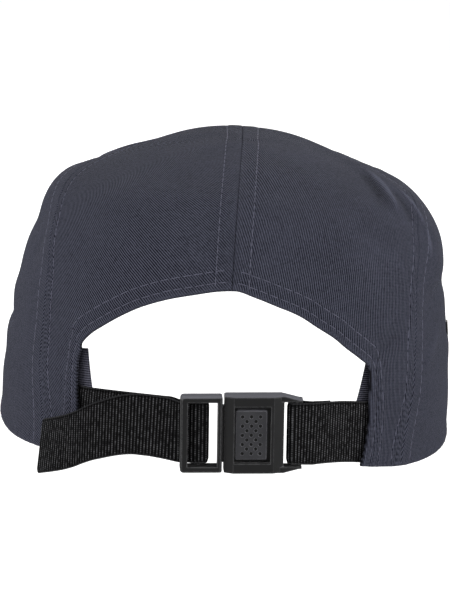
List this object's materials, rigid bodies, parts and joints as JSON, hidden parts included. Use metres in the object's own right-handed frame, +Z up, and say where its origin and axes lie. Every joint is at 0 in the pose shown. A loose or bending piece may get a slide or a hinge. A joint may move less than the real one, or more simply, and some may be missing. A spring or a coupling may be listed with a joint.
{
  "type": "five panel cap",
  "caption": "Soft twill cap of front, side and back panels with a curved peak, side eyelets, and a webbing strap with a side-release buckle across an arched rear opening.",
  "frame": {"origin": "centre of the head opening, at the height of the rim's lowest stretch at the wearer's sides", "axes": "+Z up through the crown, +Y forward along the peak, +X to the wearer's right; the rear opening and the buckle face -Y"},
  "size_m": [0.1769, 0.2617, 0.1185],
  "materials": {
    "twill": "washed black cotton twill, fine diagonal rib, matt",
    "webbing": "black ribbed polyester webbing, slight sheen",
    "plastic": "black moulded acetal, fine satin grain",
    "eyelet_metal": "black enamelled eyelet, glossy"
  },
  "bodies": {
    "root": {"front_panel": "twill", "side_panel_left": "twill", "side_panel_right": "twill", "back_panel_left": "twill", "back_panel_right": "twill", "peak": "twill", "sweatband": "twill", "strap_left": "webbing", "strap_right": "webbing", "buckle_male_half": "plastic", "buckle_housing": "plastic", "eyelet_right_1": "eyelet_metal", "eyelet_right_2": "eyelet_metal", "eyelet_left_1": "eyelet_metal", "eyelet_left_2": "eyelet_metal"}
  },
  "joints": []
}
